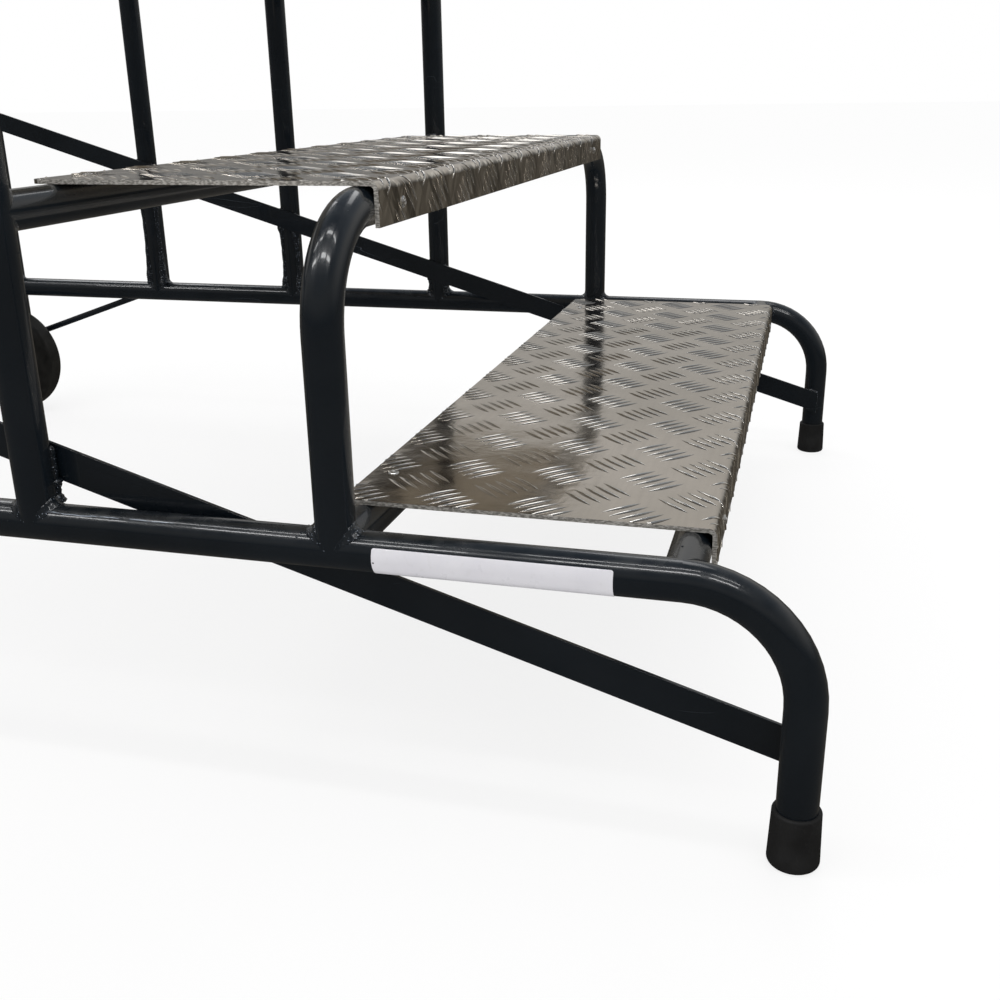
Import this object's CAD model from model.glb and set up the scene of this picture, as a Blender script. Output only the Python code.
import math
import random

import bpy
import numpy as np
from mathutils import Matrix, Quaternion, Vector


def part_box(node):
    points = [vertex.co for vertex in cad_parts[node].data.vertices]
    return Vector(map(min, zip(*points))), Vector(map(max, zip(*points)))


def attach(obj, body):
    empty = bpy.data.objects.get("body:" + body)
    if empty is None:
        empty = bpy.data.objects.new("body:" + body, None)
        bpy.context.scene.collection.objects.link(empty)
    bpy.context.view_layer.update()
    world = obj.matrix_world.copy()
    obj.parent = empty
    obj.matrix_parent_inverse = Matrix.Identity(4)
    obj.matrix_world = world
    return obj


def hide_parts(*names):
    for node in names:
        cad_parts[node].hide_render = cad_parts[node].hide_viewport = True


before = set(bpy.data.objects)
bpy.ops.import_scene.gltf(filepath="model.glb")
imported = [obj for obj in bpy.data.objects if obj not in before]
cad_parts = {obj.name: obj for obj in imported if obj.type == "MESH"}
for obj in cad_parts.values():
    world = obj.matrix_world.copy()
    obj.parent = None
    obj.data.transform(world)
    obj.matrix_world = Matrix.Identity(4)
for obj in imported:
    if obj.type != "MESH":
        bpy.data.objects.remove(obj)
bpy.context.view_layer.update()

# Looks for the wide access ladder: raised chequer bars on the five sheets, weld beads, the
# rivets' mandrels, a round-cornered blank label, finishes for every part, and a plain set.
# Lengths are in metres in the ladder's own frame: X across, Y rearwards, Z up from the floor.
# Places of tubes are those of their axes. TUBE is the frame tube's radius, BEND the radius of
# its bends and FOLD the outer radius of the sheets' folds.

MM = 0.001
TUBE = 13.45 * MM
BEND = 78 * MM
FOLD = 6 * MM
RAIL_X = 454 * MM
RAIL_Z = 188 * MM
FRONT_LEG_Y = -647.5 * MM
REAR_POST_Y = 584.5 * MM
AXLE_Z = 80 * MM
RISE = 210 * MM
GOING = 224 * MM
HANDRAIL_HEIGHT = 900 * MM
GUARD_HEIGHT = 950 * MM
KNEE_HEIGHT = 480 * MM
ACROSS, ALONG, UP = Vector((1, 0, 0)), Vector((0, 1, 0)), Vector((0, 0, 1))
SIDES = (("left", -1), ("right", 1))
STEPS = (("tread_1", 1), ("tread_2", 2), ("tread_3", 3), ("tread_4", 4), ("platform", 5))

dice = random.Random(7)


def support_z(level):
    """Height of the axis of the tubes under a step."""
    return RAIL_Z + RISE * (level - 1)


def nose_y(level):
    """Place of the axis of a step's front tube."""
    return FRONT_LEG_Y + BEND + GOING * (level - 1)


def slope_z(y):
    """Height of the sloping handrail's axis above a place along the ladder."""
    return support_z(3) + HANDRAIL_HEIGHT + RISE / GOING * (y - nose_y(3))


# ---------------------------------------------------------------- finishes


class Finish:
    """One procedural material, drawn in the ladder's own coordinates."""

    def __init__(self, name, **surface):
        self.material = bpy.data.materials.get(name) or bpy.data.materials.new(name)
        self.material.use_nodes = True
        self.tree = self.material.node_tree
        self.tree.nodes.clear()
        output = self.add("ShaderNodeOutputMaterial")
        self.surface = self.add("ShaderNodeBsdfPrincipled")
        self.tree.links.new(self.surface.outputs[0], output.inputs[0])
        self.place = self.add("ShaderNodeTexCoord").outputs["Object"]
        self.normal = None
        for socket, value in surface.items():
            self.set(socket.replace("_", " "), value)

    def add(self, kind, **settings):
        """Add a shader node with some of its settings."""
        node = self.tree.nodes.new(kind)
        for key, value in settings.items():
            setattr(node, key, value)
        return node

    def plug(self, socket, value):
        """Feed a socket with a number, a colour or another node's output."""
        if isinstance(value, bpy.types.NodeSocket):
            self.tree.links.new(value, socket)
        elif hasattr(value, "__len__") and len(value) == 3 and len(socket.default_value) == 4:
            socket.default_value = (*value, 1)
        else:
            socket.default_value = value

    def set(self, name, value):
        """Feed one input of the surface itself."""
        self.plug(self.surface.inputs[name], value)

    def noise(self, scale, detail=3, stretch=None, tilt=0.0):
        """Cloudy noise from 0 to 1, with a scale in cycles per metre, tilted about Y."""
        node = self.add("ShaderNodeTexNoise")
        place = self.place
        if stretch is not None:
            mapping = self.add("ShaderNodeMapping", vector_type="TEXTURE")
            self.plug(mapping.inputs["Vector"], place)
            mapping.inputs["Rotation"].default_value = (0, tilt, 0)
            mapping.inputs["Scale"].default_value = [1 / share for share in stretch]
            place = mapping.outputs[0]
        self.plug(node.inputs["Vector"], place)
        node.inputs["Scale"].default_value = scale
        node.inputs["Detail"].default_value = detail
        return node.outputs["Fac"]

    def spread(self, value, low, high, start=0.0, end=1.0):
        """Map low..high of a value on to start..end, held at both ends."""
        node = self.add("ShaderNodeMapRange", clamp=True)
        self.plug(node.inputs["Value"], value)
        for name, number in zip(("From Min", "From Max", "To Min", "To Max"), (low, high, start, end)):
            node.inputs[name].default_value = number
        return node.outputs[0]

    def maths(self, operation, first, second=0.5):
        """One sum on numbers or on other nodes' outputs."""
        node = self.add("ShaderNodeMath", operation=operation)
        self.plug(node.inputs[0], first)
        self.plug(node.inputs[1], second)
        return node.outputs[0]

    def mix(self, factor, first, second):
        """Blend from the first colour to the second."""
        node = self.add("ShaderNodeMix", data_type="RGBA")
        self.plug(node.inputs["Factor"], factor)
        self.plug(node.inputs[6], first)
        self.plug(node.inputs[7], second)
        return node.outputs[2]

    def upward(self):
        """1 on faces that look straight up, 0 on upright faces, -1 on faces that look down."""
        geometry = self.add("ShaderNodeNewGeometry")
        split = self.add("ShaderNodeSeparateXYZ")
        self.plug(split.inputs[0], geometry.outputs["Normal"])
        return split.outputs["Z"]

    def hairlines(self, scale, width, stretch=None):
        """Thin wandering lines, for scratches."""
        field = self.noise(scale, 2, stretch)
        away = self.maths("ABSOLUTE", self.maths("SUBTRACT", field, 0.5))
        return self.spread(away, 0, width, 1, 0)

    def bump(self, field, depth, strength):
        """Add shallow relief on top of the relief so far."""
        node = self.add("ShaderNodeBump")
        self.plug(node.inputs["Height"], field)
        node.inputs["Distance"].default_value = depth
        node.inputs["Strength"].default_value = strength
        if self.normal is not None:
            self.plug(node.inputs["Normal"], self.normal)
        self.normal = node.outputs[0]
        self.set("Normal", self.normal)


def painted(name, glitter):
    """Gloss anthracite powder coat, with dust on top and a few fine scratches."""
    coat = Finish(name, Specular_IOR_Level=0.32, Coat_Weight=0.45, Coat_Roughness=0.035)
    cloud = coat.spread(coat.noise(7, 4), 0.35, 0.65)
    colour = coat.mix(cloud, (0.0034, 0.0054, 0.0077), (0.0053, 0.0081, 0.0114))
    speck = coat.spread(coat.noise(1400, 2), 0.62, 0.75)
    colour = coat.mix(coat.maths("MULTIPLY", speck, 0.25), colour, (0.022, 0.027, 0.035))
    dust = coat.maths(
        "MULTIPLY",
        coat.spread(coat.upward(), 0.3, 1.0, 0, 0.16),
        coat.spread(coat.noise(55, 6), 0.42, 0.68),
    )
    colour = coat.mix(dust, colour, (0.085, 0.088, 0.09))
    patches = coat.spread(coat.noise(13, 2), 0.60, 0.68)
    scratches = coat.maths("MULTIPLY", coat.hairlines(30, 0.0016, (1, 0.12, 1)), patches)
    marks = coat.maths("MULTIPLY", scratches, 0.22)
    marks = coat.maths("MAXIMUM", marks, rail_scratch(coat))
    if glitter:
        flecks = coat.spread(coat.noise(820, 2), 0.655, 0.69, 0, 0.8)
        marks = coat.maths("MAXIMUM", marks, flecks)
    colour = coat.mix(marks, colour, (0.32, 0.36, 0.42))
    coat.set("Base Color", colour)
    rough = coat.spread(coat.noise(28, 4), 0.3, 0.7, 0.16, 0.26)
    coat.set("Roughness", coat.maths("ADD", rough, coat.maths("MULTIPLY", dust, 0.8)))
    coat.bump(coat.noise(520, 2), 0.00010, 0.2)
    coat.bump(coat.noise(42, 2), 0.0006, 0.10)
    return coat


def rail_scratch(coat):
    """A long broken scratch on top of the left base rail, in front of the third step's upright."""
    split = coat.add("ShaderNodeSeparateXYZ")
    coat.plug(split.inputs[0], coat.place)
    wander = coat.spread(coat.noise(26, 3), 0.3, 0.7, -0.9 * MM, 0.9 * MM)
    line = RAIL_Z + TUBE * math.sin(math.radians(52))
    height = coat.maths("ADD", split.outputs["Z"], wander)
    off = coat.maths("ABSOLUTE", coat.maths("SUBTRACT", height, line))
    mark = coat.spread(off, 0.06 * MM, 0.26 * MM, 1, 0)
    mark = coat.maths("MULTIPLY", mark, coat.spread(coat.noise(95, 3), 0.38, 0.50))
    run = coat.maths("ABSOLUTE", coat.maths("SUBTRACT", split.outputs["Y"], nose_y(3) - 62 * MM))
    mark = coat.maths("MULTIPLY", mark, coat.spread(run, 44 * MM, 50 * MM, 1, 0))
    outer = coat.maths("LESS_THAN", split.outputs["X"], -RAIL_X)
    return coat.maths("MULTIPLY", mark, outer)


# Tilt, tone and strength of the smeared streaks on the sheets' lips.
STREAKS = (
    (0.6, (0.95, 0.91, 0.84), 0.75),
    (-0.6, (0.16, 0.145, 0.12), 0.8),
)


def rolled_aluminium(name, raised):
    """Bright rolled sheet: rolling lines along X, waves, scuffs, streaked lips and sheared ends.

    On raised bars the tops are worn bright and the feet are dark.
    """
    sheet = Finish(name, Metallic=1.0)
    grain = sheet.noise(260, 3, (0.06, 1, 1))
    smear = sheet.noise(11, 4)
    colour = sheet.mix(sheet.spread(smear, 0.35, 0.65), (0.50, 0.462, 0.41), (0.60, 0.555, 0.50))
    colour = sheet.mix(sheet.spread(grain, 0.4, 0.75, 0, 0.3), colour, (0.42, 0.385, 0.34))
    scuffs = sheet.maths(
        "MULTIPLY", sheet.hairlines(65, 0.004, (0.4, 1, 1)), sheet.spread(sheet.noise(23, 2), 0.54, 0.66)
    )
    colour = sheet.mix(sheet.maths("MULTIPLY", scuffs, 0.35), colour, (0.74, 0.73, 0.71))
    geometry = sheet.add("ShaderNodeNewGeometry")
    split = sheet.add("ShaderNodeSeparateXYZ")
    sheet.plug(split.inputs[0], geometry.outputs["True Normal"])
    sheared = sheet.maths("GREATER_THAN", sheet.maths("ABSOLUTE", split.outputs["X"]), 0.95)
    folded = sheet.spread(sheet.maths("ABSOLUTE", split.outputs["Y"]), 0.5, 0.9)
    for tilt, tone, strength in STREAKS:
        streaks = sheet.spread(sheet.noise(120, 2, (1, 1, 0.2), tilt), 0.46, 0.60, 0, strength)
        colour = sheet.mix(sheet.maths("MULTIPLY", streaks, folded), colour, tone)
    if raised:
        ridge = sheet.add("ShaderNodeAttribute", attribute_name="ridge").outputs["Fac"]
        colour = sheet.mix(sheet.spread(ridge, 0.5, 1.0, 0, 0.7), colour, (0.82, 0.80, 0.76))
        colour = sheet.mix(sheet.spread(ridge, 0.0, 0.4, 0.75, 0), colour, (0.13, 0.12, 0.105))
    torn = sheet.spread(sheet.noise(330, 3, (1, 1, 3)), 0.42, 0.58)
    colour = sheet.mix(sheared, colour, sheet.mix(torn, (0.34, 0.32, 0.29), (0.80, 0.77, 0.72)))
    sheet.set("Base Color", colour)
    sheet.set("Metallic", sheet.spread(sheared, 0, 1, 1.0, 0.6))
    rough = sheet.spread(sheet.noise(34, 5), 0.3, 0.7, 0.08, 0.18)
    rough = sheet.maths("ADD", rough, sheet.maths("MULTIPLY", scuffs, 0.12))
    sheet.set("Roughness", sheet.maths("ADD", rough, sheet.maths("MULTIPLY", sheared, 0.25)))
    sheet.bump(sheet.noise(15, 2), 0.0012, 0.35)
    sheet.bump(sheet.noise(44, 2), 0.0005, 0.35)
    sheet.bump(sheet.noise(110, 1), 0.0002, 0.35)
    sheet.bump(sheet.maths("MULTIPLY", sheet.noise(95, 3, (1, 1, 0.3), 0.5), folded), 0.0018, 0.8)
    sheet.bump(grain, 0.00005, 0.3)
    return sheet


def rivet_aluminium():
    """Satin aluminium of the blind rivets."""
    metal = Finish("rivet_aluminium", Metallic=1.0)
    cloud = metal.spread(metal.noise(420, 4), 0.35, 0.65)
    metal.set("Base Color", metal.mix(cloud, (0.50, 0.49, 0.47), (0.68, 0.67, 0.65)))
    metal.set("Roughness", metal.spread(metal.noise(700, 3), 0.3, 0.7, 0.2, 0.38))
    metal.bump(metal.noise(1600, 2), 0.00005, 0.4)
    return metal


def moulded(name, dark, light, rough, grain, depth, shine):
    """Moulded rubber or plastic: a fine grain, with paler scuffs."""
    body = Finish(name, Specular_IOR_Level=shine)
    colour = body.mix(body.spread(body.noise(60, 5), 0.35, 0.68), dark, light)
    scuff = body.maths("MULTIPLY", body.hairlines(140, 0.01), body.spread(body.noise(40, 2), 0.5, 0.62))
    pale = tuple(min(1.0, 3.2 * part) for part in light)
    body.set("Base Color", body.mix(body.maths("MULTIPLY", scuff, 0.45), colour, pale))
    body.set("Roughness", body.spread(body.noise(90, 4), 0.3, 0.7, rough - 0.07, rough + 0.07))
    body.bump(body.noise(grain, 3), depth, 0.5)
    return body


def zinc_steel():
    """Zinc-plated steel of the bolts, nuts and washers, with faint colour and dull spots."""
    metal = Finish("zinc_steel", Metallic=1.0)
    cloud = metal.spread(metal.noise(160, 3), 0.35, 0.65)
    tint = metal.mix(cloud, (0.50, 0.52, 0.55), (0.66, 0.65, 0.60))
    spots = metal.spread(metal.noise(900, 3), 0.5, 0.75, 0, 0.4)
    metal.set("Base Color", metal.mix(spots, tint, (0.36, 0.37, 0.38)))
    metal.set("Roughness", metal.spread(metal.noise(320, 4), 0.3, 0.7, 0.24, 0.42))
    metal.bump(metal.noise(1300, 2), 0.00005, 0.4)
    return metal


def label_vinyl():
    """White label film, slightly grimy."""
    film = Finish("label_vinyl", Coat_Weight=0.4, Coat_Roughness=0.12)
    cloud = film.spread(film.noise(30, 4), 0.3, 0.7)
    colour = film.mix(cloud, (0.64, 0.63, 0.67), (0.70, 0.69, 0.72))
    grime = film.maths("MULTIPLY", film.spread(film.noise(190, 5), 0.58, 0.75), 0.25)
    film.set("Base Color", film.mix(grime, colour, (0.52, 0.51, 0.50)))
    film.set("Roughness", film.spread(film.noise(80, 3), 0.3, 0.7, 0.26, 0.4))
    film.bump(film.noise(70, 2), 0.0002, 0.2)
    return film


# Dark and light colour, roughness, grain in cycles per metre, depth of the grain, specular level.
MOULDINGS = {
    "foot_rubber": ((0.0045, 0.0045, 0.0045), (0.009, 0.009, 0.009), 0.74, 750, 0.2 * MM, 0.35),
    "tyre_rubber": ((0.005, 0.005, 0.0045), (0.012, 0.0115, 0.010), 0.42, 500, 0.3 * MM, 0.2),
    "wheel_plastic": ((0.002, 0.002, 0.0022), (0.004, 0.004, 0.0045), 0.45, 1100, 0.1 * MM, 0.1),
    "bush_plastic": ((0.55, 0.53, 0.47), (0.66, 0.64, 0.58), 0.4, 900, 0.1 * MM, 0.35),
    "plug_plastic": ((0.005, 0.005, 0.006), (0.010, 0.010, 0.010), 0.45, 1000, 0.1 * MM, 0.35),
}
FINISHES = {
    "frame_paint": painted("frame_paint", glitter=False),
    "weld_paint": painted("weld_paint", glitter=True),
    "chequer_aluminium": rolled_aluminium("chequer_aluminium", raised=False),
    "chequer_bars": rolled_aluminium("chequer_bars", raised=True),
    "rivet_aluminium": rivet_aluminium(),
    "zinc_steel": zinc_steel(),
    "label_vinyl": label_vinyl(),
}
for name, look in MOULDINGS.items():
    FINISHES[name] = moulded(name, *look)

# ---------------------------------------------------------------- piece helpers


def piece(name, vertices, faces, finish, slot=None, body="frame"):
    """Make one mesh piece that rides on a body of the ladder."""
    mesh = bpy.data.meshes.new(name)
    mesh.from_pydata([tuple(map(float, v)) for v in vertices], [], faces)
    mesh.validate()
    mesh.polygons.foreach_set("use_smooth", [True] * len(mesh.polygons))
    mesh.materials.append(FINISHES[finish].material)
    thing = bpy.data.objects.new(name, mesh)
    bpy.context.scene.collection.objects.link(thing)
    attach(thing, body)
    return thing


class Pile:
    """Gathers many small closed shapes into one mesh."""

    def __init__(self):
        self.vertices = []
        self.faces = []

    def put(self, vertices, faces):
        """Add one shape."""
        base = len(self.vertices)
        self.vertices.extend(vertices)
        self.faces.extend(tuple(base + corner for corner in face) for face in faces)

    def make(self, name, finish, **options):
        """Turn all the shapes so far into one piece."""
        return piece(name, self.vertices, self.faces, finish, **options)


def sheet_faces(rows, columns, closed_rows=False, closed_columns=False):
    """Quads over a grid of rows of points, optionally closed either way."""
    faces = []
    for row in range(rows if closed_rows else rows - 1):
        for column in range(columns if closed_columns else columns - 1):
            beside = (column + 1) % columns
            start = row * columns
            below = (row + 1) % rows * columns
            faces.append((start + column, start + beside, below + beside, below + column))
    return faces


def bead(pile, path, radii, closed, sides=8):
    """Sweep a round bead of changing radius along a path of points."""
    count = len(path)
    vertices = []
    for index in range(count):
        before = path[index - 1] if closed or index > 0 else path[0]
        after = path[(index + 1) % count] if closed or index < count - 1 else path[-1]
        along = (Vector(after) - Vector(before)).normalized()
        across = along.orthogonal() if index == 0 else (across - along * across.dot(along))
        across.normalize()
        third = along.cross(across)
        for step in range(sides):
            turn = 2 * math.pi * step / sides
            spoke = across * math.cos(turn) + third * math.sin(turn)
            vertices.append(Vector(path[index]) + spoke * radii[index])
    faces = sheet_faces(count, sides, closed_rows=closed, closed_columns=True)
    if not closed:
        faces.append(tuple(reversed(range(sides))))
        faces.append(tuple((count - 1) * sides + step for step in range(sides)))
    pile.put(vertices, faces)


def dome(pile, centre, out, radius, height, sides):
    """A small closed cap that stands on a surface."""
    centre = Vector(centre)
    out = Vector(out).normalized()
    across = out.orthogonal().normalized()
    third = out.cross(across)
    vertices = []
    for share, lift in ((1.0, -0.3), (0.92, 0.35), (0.6, 0.8)):
        for step in range(sides):
            turn = 2 * math.pi * step / sides
            spoke = across * math.cos(turn) + third * math.sin(turn)
            vertices.append(centre + spoke * radius * share + out * height * lift)
    vertices.append(centre + out * height)
    faces = sheet_faces(3, sides, closed_columns=True)
    faces += [(2 * sides + step, 2 * sides + (step + 1) % sides, 3 * sides) for step in range(sides)]
    faces.append(tuple(reversed(range(sides))))
    pile.put(vertices, faces)


# ---------------------------------------------------------------- chequer bars

BAR_LENGTH = 33 * MM
BAR_WIDTH = 3.4 * MM
BAR_HEIGHT = 1.0 * MM
BAR_PITCH = 8.3 * MM
BARS_IN_GROUP = 5
CELL_X = 70.5 * MM
CELL_Y = 65 * MM
BACK_CORNER = 10 * MM
EDGE_MARGIN = 0.15 * MM
RIVET_CLEARANCE = 7 * MM
STATIONS = 13
# Across a bar: share of half its width, and share of its height. The feet are sunk in the sheet.
PROFILE = ((-1.0, -0.25), (-0.82, 0.34), (-0.45, 0.84), (0.0, 1.0), (0.45, 0.84), (0.82, 0.34), (1.0, -0.25))


class Sheet:
    """The folded sheet of a step, with its top and lip laid flat for setting out the bars."""

    def __init__(self, node):
        low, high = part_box(node)
        self.left = low.x
        self.right = high.x
        self.front = low.y
        self.back = high.y
        self.top = high.z
        self.flat = self.back - self.front - FOLD
        self.arc = FOLD * math.pi / 2
        self.length = self.flat + self.arc + (self.top - FOLD - low.z)

    def spot(self, x, down, lift):
        """Fold a point of the flat pattern into place: down is measured from the back edge."""
        if down <= self.flat:
            return (x, self.back - down, self.top + lift)
        if down <= self.flat + self.arc:
            angle = (down - self.flat) / FOLD
            reach = FOLD + lift
            return (x, self.front + FOLD - reach * math.sin(angle), self.top - FOLD + reach * math.cos(angle))
        return (x, self.front - lift, self.top - FOLD - (down - self.flat - self.arc))


def chequer_bar(pile, sheet, x, down, lean):
    """One slim raised bar with pointed ends, cut off at the sheet's sheared edges."""
    along = (lean * math.sqrt(0.5), -math.sqrt(0.5))
    aside = (-along[1], along[0])
    shares = np.linspace(-1, 1, 121)
    swell = np.clip(1 - np.abs(shares) ** 2.2, 0, 1)
    columns = []
    for offset, rise in PROFILE:
        wide = offset * BAR_WIDTH / 2 * swell
        xs = x + along[0] * shares * BAR_LENGTH / 2 + aside[0] * wide
        downs = down + along[1] * shares * BAR_LENGTH / 2 + aside[1] * wide
        inside = (xs > sheet.left + EDGE_MARGIN) & (xs < sheet.right - EDGE_MARGIN)
        inside &= (downs > EDGE_MARGIN) & (downs < sheet.length - EDGE_MARGIN)
        edge_reach = np.maximum(sheet.left + BACK_CORNER - xs, xs - sheet.right + BACK_CORNER)
        corner_reach = np.hypot(np.maximum(edge_reach, 0), np.maximum(BACK_CORNER - downs, 0))
        inside &= corner_reach < BACK_CORNER - EDGE_MARGIN
        if inside.sum() < 12:
            return
        kept = np.flatnonzero(inside)
        ends = shares[kept[0]], shares[kept[-1]]
        picks = ends[0] + (ends[1] - ends[0]) * (1 - np.cos(np.linspace(0, math.pi, STATIONS))) / 2
        lifts = np.interp(picks, shares, swell) * rise * BAR_HEIGHT
        if rise < 0:
            lifts = np.full(STATIONS, rise * BAR_HEIGHT)
        stations = zip(np.interp(picks, shares, xs), np.interp(picks, shares, downs), lifts)
        columns.append([sheet.spot(float(x), float(down), float(lift)) for x, down, lift in stations])
    rows = len(columns)
    faces = sheet_faces(rows, STATIONS, closed_rows=True)
    faces.append(tuple(row * STATIONS for row in range(rows)))
    faces.append(tuple(row * STATIONS + STATIONS - 1 for row in reversed(range(rows))))
    pile.put([point for column in columns for point in column], faces)


def chequer(node, start_x, start_down):
    """Cover one sheet with groups of five bars that lean one way and the other in turn."""
    sheet = Sheet(node)
    rivets = rivet_spots(sheet)
    pile = Pile()
    across = range(-1, int((sheet.right - sheet.left) / CELL_X) + 2)
    deep = range(-1, int(sheet.length / CELL_Y) + 2)
    for column in across:
        for row in deep:
            for lean, shift in ((1, 0.0), (-1, 0.5)):
                x = sheet.left + start_x + (column + shift) * CELL_X
                down = start_down % CELL_Y + (row + shift) * CELL_Y
                for index in range(BARS_IN_GROUP):
                    step = (index - (BARS_IN_GROUP - 1) / 2) * BAR_PITCH * math.sqrt(0.5)
                    bar_x = x + step
                    bar_down = down + step * lean
                    gaps = [math.dist((bar_x, bar_down), rivet) for rivet in rivets]
                    if min(gaps) >= RIVET_CLEARANCE:
                        chequer_bar(pile, sheet, bar_x, bar_down, lean)
    made = pile.make(f"{node}_bars", "chequer_bars", slot="chequer_aluminium")
    one_bar = np.repeat([max(rise, 0.0) for _, rise in PROFILE], STATIONS)
    ridge = made.data.attributes.new("ridge", "FLOAT", "POINT")
    ridge.data.foreach_set("value", np.tile(one_bar, len(pile.vertices) // len(one_bar)))


RIVET_X = RAIL_X - 109 * MM
RIVET_SETBACK = TUBE + 3 * MM
LIP_RIVET_DROP = 16.45 * MM


def rivet_spots(sheet):
    """Flat places of a sheet's four rivets, as (x, down from the back edge)."""
    lip = sheet.flat + sheet.arc + LIP_RIVET_DROP - FOLD
    return [(x, down) for x in (-RIVET_X, RIVET_X) for down in (RIVET_SETBACK, lip)]


# Where the pattern starts on the two sheets that the photograph shows. The others are cut at random.
LIP_MIDDLE = Sheet("tread_2").flat + Sheet("tread_2").arc + 13 * MM
CUTS = {"tread_1": (49 * MM, 40.5 * MM), "tread_2": (16 * MM, LIP_MIDDLE - CELL_Y / 2)}
for node, _ in STEPS:
    start_x, start_down = CUTS.get(node) or (dice.uniform(0, 70) * MM, dice.uniform(0, 65) * MM)
    chequer(node, start_x, start_down)

# ---------------------------------------------------------------- rivets' mandrels

RIVET_HEAD_HEIGHT = 1.25 * MM
RING_RADIUS = 1.55 * MM
RING_THICKNESS = 0.36 * MM
STEM_RADIUS = 0.95 * MM
STEM_HEIGHT = 0.35 * MM


def mandrel(pile, place, out):
    """The snapped-off stem in the middle of a rivet's head, with the ring round it."""
    head = place + out * RIVET_HEAD_HEIGHT
    across = out.orthogonal().normalized()
    third = out.cross(across)
    turns = np.linspace(0, 2 * math.pi, 24, endpoint=False)
    ring = [head + (across * math.cos(turn) + third * math.sin(turn)) * RING_RADIUS for turn in turns]
    bead(pile, ring, [RING_THICKNESS] * len(ring), closed=True, sides=6)
    dome(pile, head, out, STEM_RADIUS, STEM_HEIGHT, sides=12)


mandrels = Pile()
for node, level in STEPS:
    sheet = Sheet(node)
    for x in (-RIVET_X, RIVET_X):
        mandrel(mandrels, Vector((x, sheet.back - RIVET_SETBACK, sheet.top)), UP)
        mandrel(mandrels, Vector((x, sheet.front, support_z(level))), -ALONG)
mandrels.make("rivet_mandrels", "rivet_aluminium")

# ---------------------------------------------------------------- welds

WELD_SKIN = 0.12 * MM
WELD_ROOT = 0.6 * MM
SEAM_STEP = 0.8 * MM


def ripple(count, size, waves):
    """Radii of a bead whose size swells and dips along it."""
    slow = [dice.uniform(0, 2 * math.pi) for _ in range(3)]
    radii = []
    for index in range(count):
        turn = 2 * math.pi * index / count
        swell = 1 + 0.05 * math.sin(waves * turn)
        swell += 0.06 * math.sin(2 * turn + slow[0]) + 0.05 * math.sin(5 * turn + slow[1])
        swell += 0.04 * math.sin(9 * turn + slow[2])
        radii.append(size * swell)
    return radii


def saddle(pile, centre, main, branch, branch_radius=TUBE, leg=5 * MM):
    """A concave weld fillet round the foot of a branch tube, where it stands on a frame tube."""
    centre = Vector(centre)
    main = Vector(main).normalized()
    branch = Vector(branch).normalized()
    aside = main.cross(branch).normalized()
    ahead = branch.cross(aside).normalized()
    count = max(36, int(96 * branch_radius / TUBE))
    lean = branch - main * branch.dot(main)
    waves = ripple(count, 1.0, count // 4)
    vertices = []
    for index in range(count):
        turn = 2 * math.pi * index / count
        spoke = ahead * math.cos(turn) + aside * math.sin(turn)
        rim = spoke * branch_radius
        flat = rim - main * rim.dot(main)
        inside = flat.dot(lean) ** 2 - lean.length_squared * (flat.length_squared - TUBE ** 2)
        reach = (-flat.dot(lean) + math.sqrt(max(inside, 0))) / lean.length_squared
        corner = rim + branch * reach
        out = (corner - main * corner.dot(main)).normalized()
        opening = max(0.0, 1 - abs(spoke.dot(out)))
        size = leg * waves[index] * (0.12 + 0.88 * opening ** 0.6)
        skirt = spoke - out * spoke.dot(out)
        skirt = skirt.normalized() if skirt.length > 1e-4 else main
        foot = corner + skirt * size
        foot_out = foot - main * foot.dot(main)
        foot = main * foot.dot(main) + foot_out.normalized() * (TUBE - WELD_SKIN)
        head = spoke * (branch_radius - WELD_SKIN) + branch * (reach + size)
        bend = corner + (head + foot - corner * 2) * 0.16 * waves[index]
        section = []
        for share in (0.0, 0.2, 0.4, 0.6, 0.8, 1.0):
            section.append(head * (1 - share) ** 2 + bend * 2 * share * (1 - share) + foot * share ** 2)
        section.append(corner - (spoke + out) * WELD_ROOT)
        vertices += [centre + point for point in section]
    pile.put(vertices, sheet_faces(count, 7, closed_rows=True, closed_columns=True))


def seam(pile, corners, size=1.9 * MM, flare=0.0):
    """An open bead along straight runs between corners, fatter towards its ends by its flare."""
    path = []
    for start, end in zip(corners, corners[1:]):
        start, end = Vector(start), Vector(end)
        steps = max(2, int((end - start).length / SEAM_STEP))
        path += [start.lerp(end, index / steps) for index in range(steps)]
    path.append(Vector(corners[-1]))
    radii = ripple(len(path), size, len(path) // 4)
    for index in range(len(path)):
        radii[index] *= 1 + flare * abs(2 * index / (len(path) - 1) - 1) ** 2.5
    for index, share in enumerate((0.35, 0.7, 0.9)):
        radii[index] *= share
        radii[-1 - index] *= share
    bead(pile, path, radii, closed=False)


def spatter(pile, centre, main, branch, amount):
    """Small set drops of weld on the two tubes round a joint."""
    centre = Vector(centre)
    aside = main.cross(branch).normalized()
    for _ in range(amount):
        along, other = (main, branch) if dice.random() < 0.7 else (branch, main)
        way = dice.choice((-1, 1)) if along is main else 1
        distance = TUBE + (dice.random() ** 2) * 16 * MM + 1.5 * MM
        turn = dice.uniform(-1.9, 1.9)
        out = other * math.cos(turn) + aside * math.sin(turn)
        size = dice.uniform(0.35, 0.85) * MM
        dome(pile, centre + along * way * distance + out * TUBE, out, size, size * 0.8, sides=6)


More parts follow.
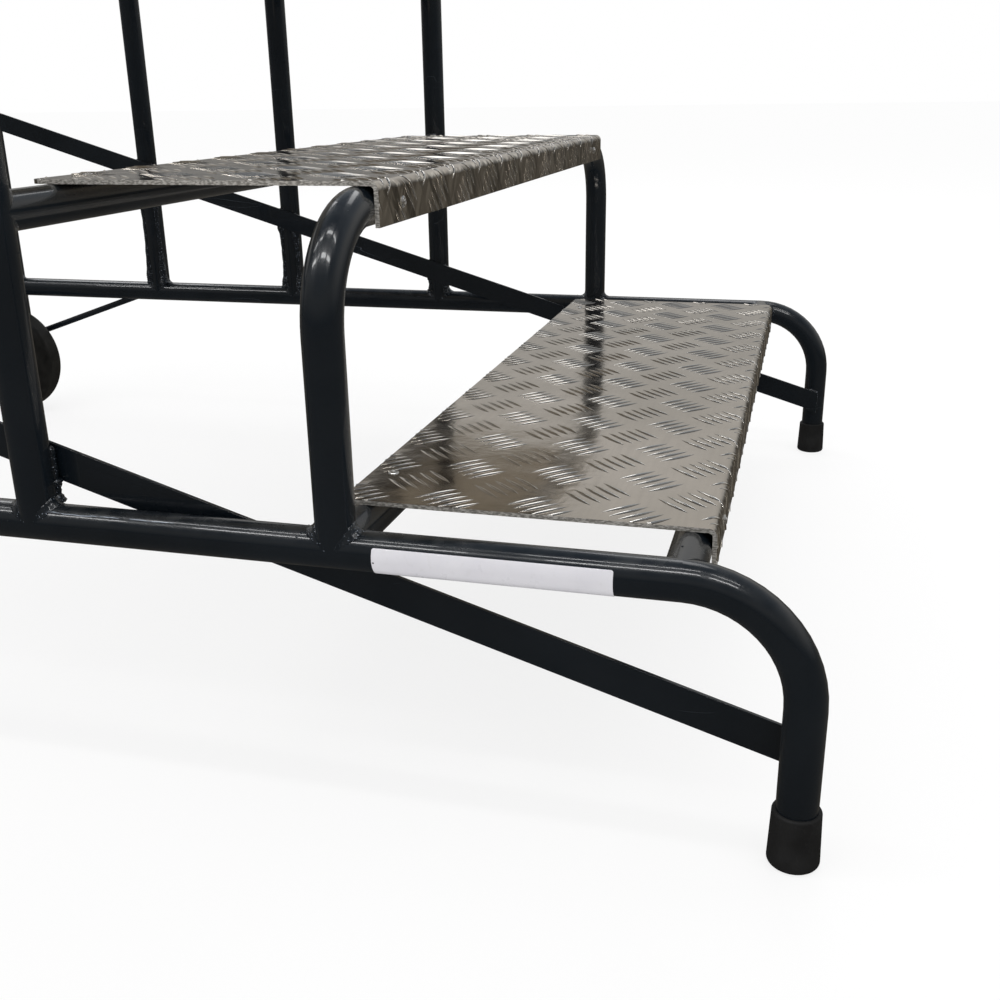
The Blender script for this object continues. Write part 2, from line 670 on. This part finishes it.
KNEE_Z = support_z(5) + KNEE_HEIGHT
GUARD_Z = support_z(5) + GUARD_HEIGHT - BEND - 2 * TUBE
SLEEVE_RADIUS = 10 * MM
STAY_RADIUS = 4.5 * MM
STAY_FRONT_Y = FRONT_LEG_Y + 991 * MM
STAY_REAR_Z = 106 * MM
BRACE_DROP = 116 * MM
BRACE_LIFT = 256 * MM
BRACE_SLOPE = (BRACE_DROP + BRACE_LIFT) / (REAR_POST_Y - FRONT_LEG_Y)
BRACE_HALF = 12.5 * MM * math.sqrt(1 + BRACE_SLOPE ** 2)
SEAM_PAST = 3 * MM
SEAM_BACK = 8 * MM
FLANK_X = 8.5 * MM
FLANK_Y = 10.7 * MM


def brace_z(y):
    """Height of a brace's centre line: below the rail in front, above it at the rear."""
    return RAIL_Z - BRACE_DROP + BRACE_SLOPE * (y - FRONT_LEG_Y)


def upright_welds(welds, drops, x):
    """Fillets of one side's uprights, rear post and knee rail."""
    for level in (2, 3, 4, 5):
        foot = (x, nose_y(level), RAIL_Z)
        saddle(welds, foot, ALONG, UP, leg=6.5 * MM)
        spatter(drops, foot, ALONG, UP, 12)
    top = (x, nose_y(5), slope_z(nose_y(5)))
    saddle(welds, top, (0, GOING, RISE), -UP)
    heel = (x, REAR_POST_Y, RAIL_Z)
    saddle(welds, heel, UP, -ALONG)
    spatter(drops, heel, UP, -ALONG, 8)
    saddle(welds, (x, nose_y(5), KNEE_Z), UP, ALONG)
    saddle(welds, (x, REAR_POST_Y, KNEE_Z), UP, -ALONG)


def cross_tube_welds(welds, drops, x, inboard):
    """Fillets at one end of each tube that runs across the ladder."""
    joints = (
        (nose_y(1), support_z(1), ALONG),
        (nose_y(2), support_z(1), ALONG),
        (nose_y(3), support_z(2), UP),
        (nose_y(3), support_z(3), UP),
        (nose_y(4), support_z(3), UP),
        (nose_y(5), support_z(4), UP),
        (nose_y(5), support_z(5), UP),
        (REAR_POST_Y, support_z(5), UP),
        (REAR_POST_Y, KNEE_Z, UP),
        (REAR_POST_Y, GUARD_Z, UP),
    )
    for y, z, main in joints:
        saddle(welds, (x, y, z), main, inboard)
        spatter(drops, (x, y, z), main, inboard, 5)


def wheel_mount_welds(welds, x):
    """Fillets of the axle's sleeve, on both sides of its post, and of the thin stay."""
    for way in (-1, 1):
        place = (x, REAR_POST_Y, AXLE_Z)
        saddle(welds, place, UP, ACROSS * way, branch_radius=SLEEVE_RADIUS, leg=3 * MM)
    front = Vector((x, STAY_FRONT_Y, RAIL_Z))
    rear = Vector((x, REAR_POST_Y, STAY_REAR_Z))
    saddle(welds, front, ALONG, rear - front, branch_radius=STAY_RADIUS, leg=2.4 * MM)
    saddle(welds, rear, UP, front - rear, branch_radius=STAY_RADIUS, leg=2.4 * MM)


def brace_welds(welds, x, inboard):
    """Seams round a brace's ends, and between it and the uprights and rail that it passes."""
    face = x + inboard * TUBE
    for y, end in ((FRONT_LEG_Y, -1), (REAR_POST_Y, 1)):
        tip = y + end * SEAM_PAST
        back = y - end * SEAM_BACK
        outline = ((back, BRACE_HALF), (tip, BRACE_HALF), (tip, -BRACE_HALF), (back, -BRACE_HALF))
        seam(welds, [(face, along, brace_z(along) + edge) for along, edge in outline])
    for level in (3, 4, 5):
        for way in (-1, 1):
            y = nose_y(level) + way * FLANK_Y
            corner = Vector((x + inboard * FLANK_X, y, 0))
            low = brace_z(y) - BRACE_HALF
            high = brace_z(y) + BRACE_HALF
            seam(welds, [corner + UP * low, corner + UP * high], size=2.8 * MM)
            if low > RAIL_Z:
                root = RAIL_Z + TUBE - 2 * MM
                seam(welds, [corner + UP * root, corner + UP * (low + 3 * MM)], size=3.2 * MM, flare=1.5)


for side, sign in SIDES:
    x = sign * RAIL_X
    welds = Pile()
    drops = Pile()
    upright_welds(welds, drops, x)
    cross_tube_welds(welds, drops, x, ACROSS * -sign)
    wheel_mount_welds(welds, x)
    brace_welds(welds, x, -sign)
    welds.make(f"welds_{side}", "weld_paint", slot="frame_paint")
    drops.make(f"weld_spatter_{side}", "weld_paint", slot="frame_paint")

# ---------------------------------------------------------------- label

LABEL_LENGTH = 155 * MM
LABEL_FRONT = FRONT_LEG_Y + 118 * MM
LABEL_TOP = math.radians(33)
LABEL_SPAN = math.radians(103)
LABEL_LIFT = 0.3 * MM
LABEL_SINK = 0.05 * MM
LABEL_COLUMNS = 28
CORNER = 1.6 * MM


def label():
    """Blank label with rounded corners, wrapped over the outer side of the left rail."""
    rounded = CORNER * (1 - np.cos(np.linspace(0, math.pi / 2, 9)))
    straight = np.linspace(CORNER, LABEL_LENGTH - CORNER, 40)[1:-1]
    lengths = np.concatenate([rounded, straight, LABEL_LENGTH - rounded[::-1]])
    skins = []
    for radius in (TUBE + LABEL_LIFT, TUBE - LABEL_SINK):
        grid = []
        for distance in lengths:
            short = max(CORNER - distance, CORNER - (LABEL_LENGTH - distance), 0)
            inset = (CORNER - math.sqrt(max(CORNER ** 2 - short ** 2, 0))) / TUBE
            for step in range(LABEL_COLUMNS):
                share = step / (LABEL_COLUMNS - 1)
                angle = LABEL_TOP - inset - share * (LABEL_SPAN - 2 * inset)
                x = -RAIL_X - radius * math.cos(angle)
                grid.append((x, LABEL_FRONT + distance, RAIL_Z + radius * math.sin(angle)))
        skins.append(grid)
    rows = len(lengths)
    count = rows * LABEL_COLUMNS
    outer = sheet_faces(rows, LABEL_COLUMNS)
    inner = [tuple(count + corner for corner in reversed(face)) for face in outer]
    edge = [row * LABEL_COLUMNS for row in range(rows)]
    edge += range(count - LABEL_COLUMNS + 1, count)
    edge += [row * LABEL_COLUMNS + LABEL_COLUMNS - 1 for row in reversed(range(rows - 1))]
    edge += reversed(range(1, LABEL_COLUMNS - 1))
    rim = []
    for corner, following in zip(edge, edge[1:] + edge[:1]):
        rim.append((corner, following, count + following, count + corner))
    made = piece("rail_label_film", skins[0] + skins[1], outer + inner + rim, "label_vinyl")
    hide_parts("rail_label")


label()

# ---------------------------------------------------------------- wheels and axles

MOULD_LINE_RADIUS = AXLE_Z - 0.5 * MM
MOULD_LINE_OFFSET = 6 * MM
HUB_RING_RADIUS = 30 * MM
HUB_RING_OFFSET = 3.5 * MM
RIM_RING_RADIUS = 57.8 * MM
RIM_RING_OFFSET = 14 * MM
THREAD_RADIUS = 5.75 * MM
THREAD_START = 0.55 * MM
THREAD_PITCH = 0.9 * MM


def hoop(pile, x, radius, size, count=96):
    """A thin ring about the axles' line."""
    path = [
        (x, REAR_POST_Y + radius * math.cos(turn), AXLE_Z + radius * math.sin(turn))
        for turn in np.linspace(0, 2 * math.pi, count, endpoint=False)
    ]
    bead(pile, path, [size] * count, closed=True, sides=6)


def wheel_rings(side):
    """Two mould lines on a tyre, and raised rings on both faces of its wheel centre."""
    low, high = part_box(f"tyre_{side}")
    middle = (low.x + high.x) / 2
    lines = Pile()
    rings = Pile()
    for way in (-1, 1):
        hoop(lines, middle + way * MOULD_LINE_OFFSET, MOULD_LINE_RADIUS, 0.45 * MM, count=128)
        hoop(rings, middle + way * HUB_RING_OFFSET, HUB_RING_RADIUS, 0.9 * MM)
        hoop(rings, middle + way * RIM_RING_OFFSET, RIM_RING_RADIUS, 0.8 * MM)
    lines.make(f"tyre_{side}_mould_lines", "tyre_rubber", body=f"wheel_{side}")
    rings.make(f"wheel_centre_{side}_rings", "wheel_plastic", body=f"wheel_{side}")


def axle_thread(side, sign):
    """The thread's last turns, at the inboard end of an axle bolt."""
    low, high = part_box(f"axle_bolt_{side}")
    tip = low.x if sign > 0 else high.x
    threads = Pile()
    for turn in range(2):
        hoop(threads, tip + sign * (THREAD_START + turn * THREAD_PITCH), THREAD_RADIUS, 0.38 * MM, count=48)
    threads.make(f"axle_thread_{side}", "zinc_steel")


for side, sign in SIDES:
    wheel_rings(side)
    axle_thread(side, sign)

# ---------------------------------------------------------------- CAD nodes' edges


def soften(node, width):
    """Round a CAD node's hard edges a little."""
    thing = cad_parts[node]
    join = thing.modifiers.new("join", "WELD")
    join.merge_threshold = 0.01 * MM
    bevel = thing.modifiers.new("soften", "BEVEL")
    bevel.width = width
    bevel.segments = 2
    bevel.limit_method = "ANGLE"
    bevel.angle_limit = math.radians(40)
    bevel.harden_normals = True


for side, _ in SIDES:
    soften(f"axle_nut_{side}", 0.5 * MM)
    soften(f"brace_{side}", 0.4 * MM)

# ---------------------------------------------------------------- set, light and camera

FLOOR_REACH = 40
LAMP_Z = 3.1
GLOW_SHARE = 0.8
# Height of a direction, from level to straight up, and the room's colour there.
ROOM = (
    (0.0, (0.13, 0.127, 0.12)),
    (0.045, (0.16, 0.157, 0.15)),
    (0.11, (0.29, 0.285, 0.275)),
    (0.20, (0.47, 0.46, 0.44)),
    (0.36, (0.61, 0.595, 0.57)),
    (0.60, (0.36, 0.39, 0.43)),
    (1.0, (0.15, 0.18, 0.225)),
)
# Place and aim across the ladder, depth and power of each row of ceiling panels.
PANEL_ROWS = ((-1.95, -0.454, 0.26, 15), (-0.75, -0.3, 0.16, 7))
PANEL_YS = (-1.75, -0.35, 1.05, 2.45)
CAMERA_PLACE = (-1.0826, -0.6299, 0.4657)
CAMERA_HEADING = math.radians(15.437)
CAMERA_PITCH = math.radians(19.844)
CAMERA_ROLL = math.radians(-0.858)


def surface(tree, kind, colour):
    """A plain diffuse, emission or background shader of one colour."""
    node = tree.nodes.new(kind)
    node.inputs["Color"].default_value = (*colour, 1)
    return node


def blend(tree, factor, first, second):
    """A blend of two shaders, by a number or by another node's output."""
    node = tree.nodes.new("ShaderNodeMixShader")
    if isinstance(factor, bpy.types.NodeSocket):
        tree.links.new(factor, node.inputs[0])
    else:
        node.inputs[0].default_value = factor
    tree.links.new(first.outputs[0], node.inputs[1])
    tree.links.new(second.outputs[0], node.inputs[2])
    return node


def mirrored_only(tree, plain, mirrored, output):
    """Show one surface to the camera and to soft light, and another in mirror reflections."""
    ray = tree.nodes.new("ShaderNodeLightPath")
    choice = blend(tree, ray.outputs["Is Glossy Ray"], plain, mirrored)
    tree.links.new(choice.outputs[0], output.inputs[0])


def floor_paint():
    """Pale floor: dark in a first reflection, and brighter in a reflection of a reflection."""
    material = bpy.data.materials.new("floor_paint")
    material.use_nodes = True
    tree = material.node_tree
    tree.nodes.clear()
    output = tree.nodes.new("ShaderNodeOutputMaterial")
    matt = surface(tree, "ShaderNodeBsdfDiffuse", (0.90, 0.90, 0.90))
    glow = surface(tree, "ShaderNodeEmission", (1, 1, 1))
    pale = blend(tree, GLOW_SHARE, matt, glow)
    first = surface(tree, "ShaderNodeBsdfDiffuse", (0.080, 0.072, 0.060))
    second = surface(tree, "ShaderNodeEmission", (0.36, 0.335, 0.29))
    ray = tree.nodes.new("ShaderNodeLightPath")
    again = tree.nodes.new("ShaderNodeMath")
    again.operation = "GREATER_THAN"
    again.inputs[1].default_value = 1.5
    tree.links.new(ray.outputs["Glossy Depth"], again.inputs[0])
    mirrored_only(tree, pale, blend(tree, again.outputs[0], first, second), output)
    return material


def pale_floor():
    """A wide level plane under the ladder's feet."""
    near, far = -FLOOR_REACH, FLOOR_REACH
    mesh = bpy.data.meshes.new("floor")
    mesh.from_pydata([(near, near, 0), (far, near, 0), (far, far, 0), (near, far, 0)], [], [(0, 1, 2, 3)])
    mesh.materials.append(floor_paint())
    floor = bpy.data.objects.new("floor", mesh)
    bpy.context.scene.collection.objects.link(floor)


def room():
    """White to the eye and to soft light; to mirroring surfaces a dim room, brighter beyond."""
    world = bpy.data.worlds.new("room")
    bpy.context.scene.world = world
    world.use_nodes = True
    tree = world.node_tree
    tree.nodes.clear()
    output = tree.nodes.new("ShaderNodeOutputWorld")
    white = surface(tree, "ShaderNodeBackground", (1, 1, 1))
    dim = tree.nodes.new("ShaderNodeBackground")
    where = tree.nodes.new("ShaderNodeTexCoord")
    split = tree.nodes.new("ShaderNodeSeparateXYZ")
    ramp = tree.nodes.new("ShaderNodeValToRGB")
    tree.links.new(where.outputs["Generated"], split.inputs[0])
    tree.links.new(split.outputs["Z"], ramp.inputs[0])
    stops = ramp.color_ramp.elements
    stops[0].color = (*ROOM[0][1], 1)
    stops[1].color = (*ROOM[-1][1], 1)
    for position, colour in ROOM[1:-1]:
        stops.new(position).color = (*colour, 1)
    tree.links.new(ramp.outputs[0], dim.inputs["Color"])
    side = tree.nodes.new("ShaderNodeMapRange")
    tree.links.new(split.outputs["X"], side.inputs["Value"])
    for name, number in (("From Min", -0.35), ("From Max", 0.25), ("To Min", 0.42), ("To Max", 1.0)):
        side.inputs[name].default_value = number
    tree.links.new(side.outputs[0], dim.inputs["Strength"])
    mirrored_only(tree, white, dim, output)


def soft_light(name, place, target, width, depth, power):
    """A rectangular lamp aimed at a target."""
    data = bpy.data.lights.new(name, "AREA")
    data.shape = "RECTANGLE"
    data.size = width
    data.size_y = depth
    data.energy = power
    lamp = bpy.data.objects.new(name, data)
    lamp.location = place
    lamp.rotation_mode = "QUATERNION"
    lamp.rotation_quaternion = (Vector(target) - Vector(place)).to_track_quat("-Z", "Y")
    bpy.context.scene.collection.objects.link(lamp)
    return lamp


def lamps():
    """Two rows of ceiling panels, of which the outer is only mirrored, and two lamps beyond."""
    for row, (x, aim, depth, power) in enumerate(PANEL_ROWS):
        for place, y in enumerate(PANEL_YS):
            panel = soft_light(f"ceiling_{row}_{place}", (x, y, LAMP_Z), (aim, y, 0.2), 1.1, depth, power)
            panel.visible_diffuse = row > 0
    soft_light("back_panel", (2.2, 2.6, 3.2), (0, 0.2, 0.5), 1.2, 1.2, 18)
    strip = soft_light("far_strip", (2.5, -0.38, LAMP_Z), (2.5, -0.38, 0), 2.7, 0.8, 17)
    strip.rotation_quaternion = Quaternion(UP, math.radians(27))


def photo_camera():
    """The photograph's view: beside the left front leg, looking down across the steps."""
    lens = bpy.data.cameras.new("camera")
    lens.sensor_fit = "HORIZONTAL"
    lens.sensor_width = 36
    lens.lens = 40.58
    lens.clip_start = 0.01
    lens.clip_end = 200
    camera = bpy.data.objects.new("camera", lens)
    bpy.context.scene.collection.objects.link(camera)
    bpy.context.scene.camera = camera
    level = Vector((math.cos(CAMERA_HEADING), math.sin(CAMERA_HEADING), 0))
    look = level * math.cos(CAMERA_PITCH) - UP * math.sin(CAMERA_PITCH)
    level_right = look.cross(UP).normalized()
    level_up = level_right.cross(look)
    right = level_right * math.cos(CAMERA_ROLL) + level_up * math.sin(CAMERA_ROLL)
    upward = level_up * math.cos(CAMERA_ROLL) - level_right * math.sin(CAMERA_ROLL)
    turn = Matrix((right, upward, -look)).transposed().to_4x4()
    camera.matrix_world = Matrix.Translation(CAMERA_PLACE) @ turn


pale_floor()
room()
lamps()
photo_camera()
bpy.context.scene.view_settings.view_transform = "Standard"
